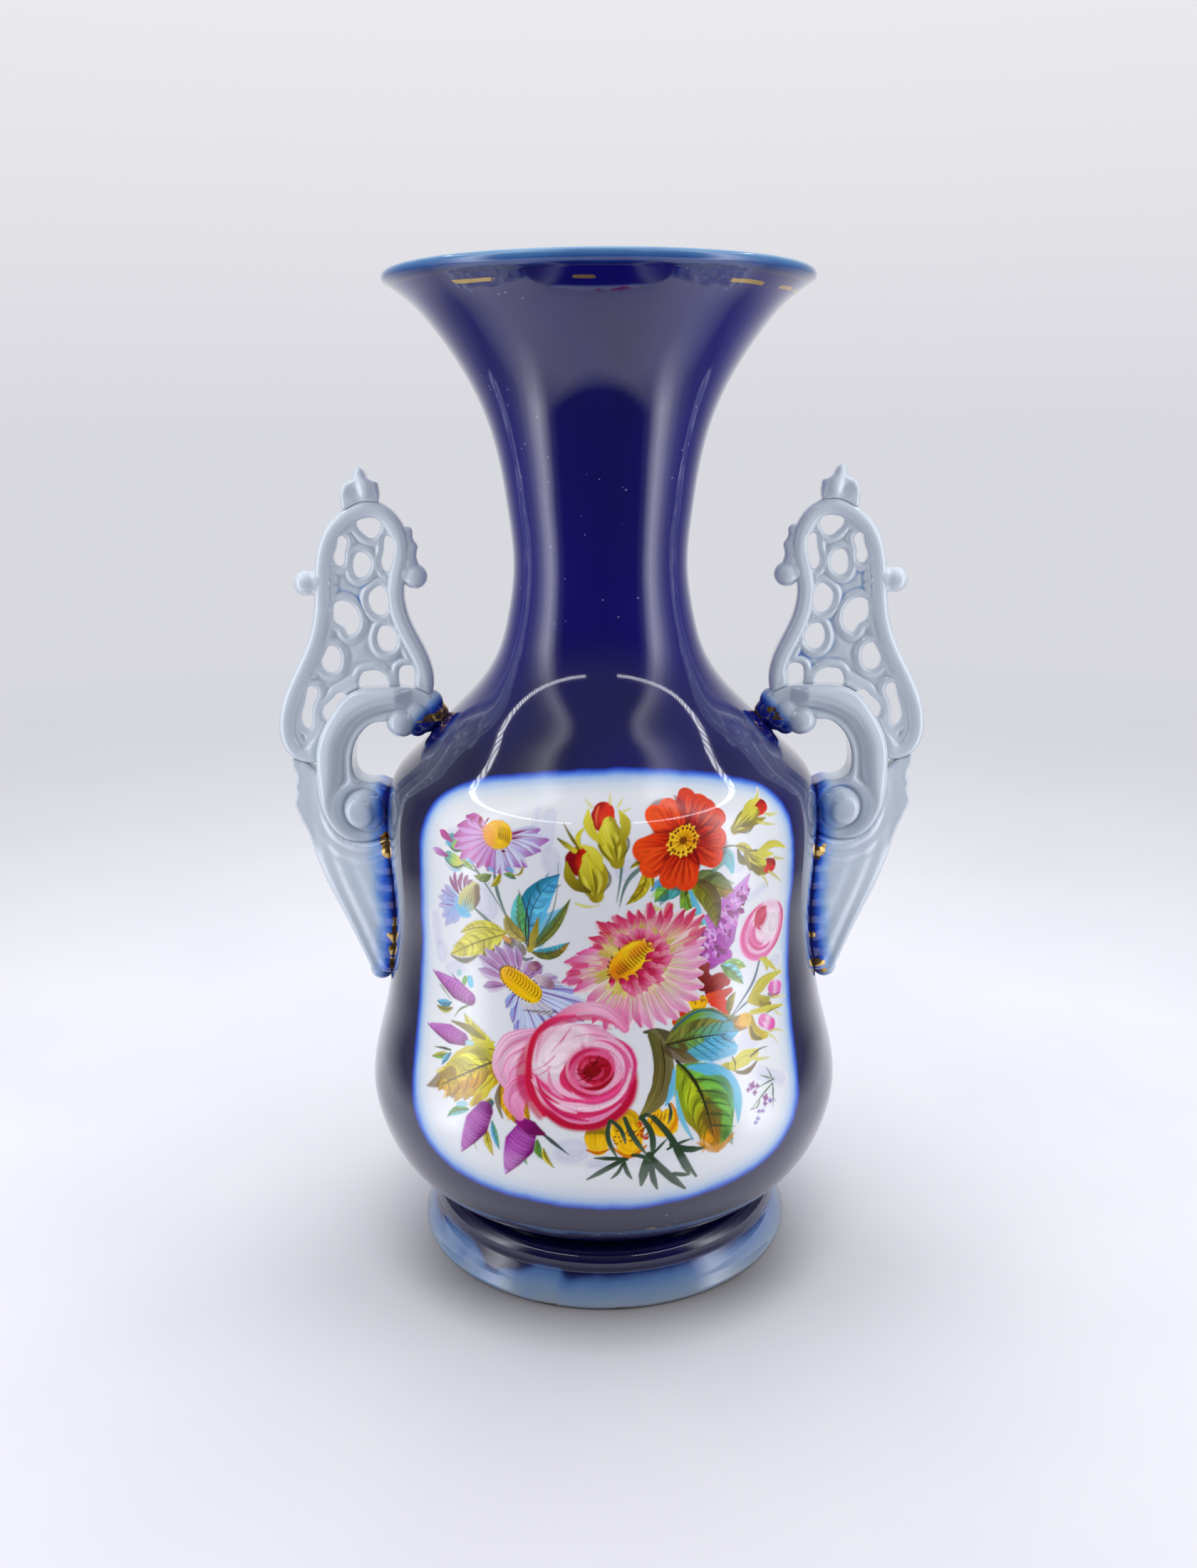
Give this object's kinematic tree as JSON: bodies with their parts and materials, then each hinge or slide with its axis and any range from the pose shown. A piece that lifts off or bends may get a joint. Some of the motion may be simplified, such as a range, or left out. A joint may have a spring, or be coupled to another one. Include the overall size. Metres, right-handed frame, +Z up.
{
  "type": "flower vase",
  "caption": "Tall two-handled porcelain flower vase with a round belly, trumpet neck, rolled lip, flared foot and pierced scroll handles; cobalt ground and a white painted panel.",
  "frame": {"origin": "centre of the foot ring, on the surface the vase stands on", "axes": "+Z up the vase's axis, +X through the right handle, -Y towards the front, where the painted panel is"},
  "size_m": [0.268, 0.2012, 0.4],
  "materials": {
    "cobalt_glaze": "high gloss cobalt glaze",
    "pale_glaze": "glossy pale blue-white glaze with blue pooled in the hollows",
    "white_reserve": "glossy white glaze panel with a soft blue edge",
    "enamel_paint": "hand-painted enamel flowers fired on the glaze",
    "gilding": "worn fired gold"
  },
  "bodies": {
    "root": {"foot": "cobalt_glaze", "body": "cobalt_glaze", "neck": "cobalt_glaze", "left_pierced_panel": "pale_glaze", "left_c_scroll": "pale_glaze", "left_leaf_bracket": "pale_glaze", "left_crest": "pale_glaze", "left_outer_ear": "pale_glaze", "left_inner_ear": "pale_glaze", "left_shoulder_knob": "pale_glaze", "left_tail_knob": "pale_glaze", "right_pierced_panel": "pale_glaze", "right_c_scroll": "pale_glaze", "right_leaf_bracket": "pale_glaze", "right_crest": "pale_glaze", "right_outer_ear": "pale_glaze", "right_inner_ear": "pale_glaze", "right_shoulder_knob": "pale_glaze", "right_tail_knob": "pale_glaze"}
  },
  "joints": []
}
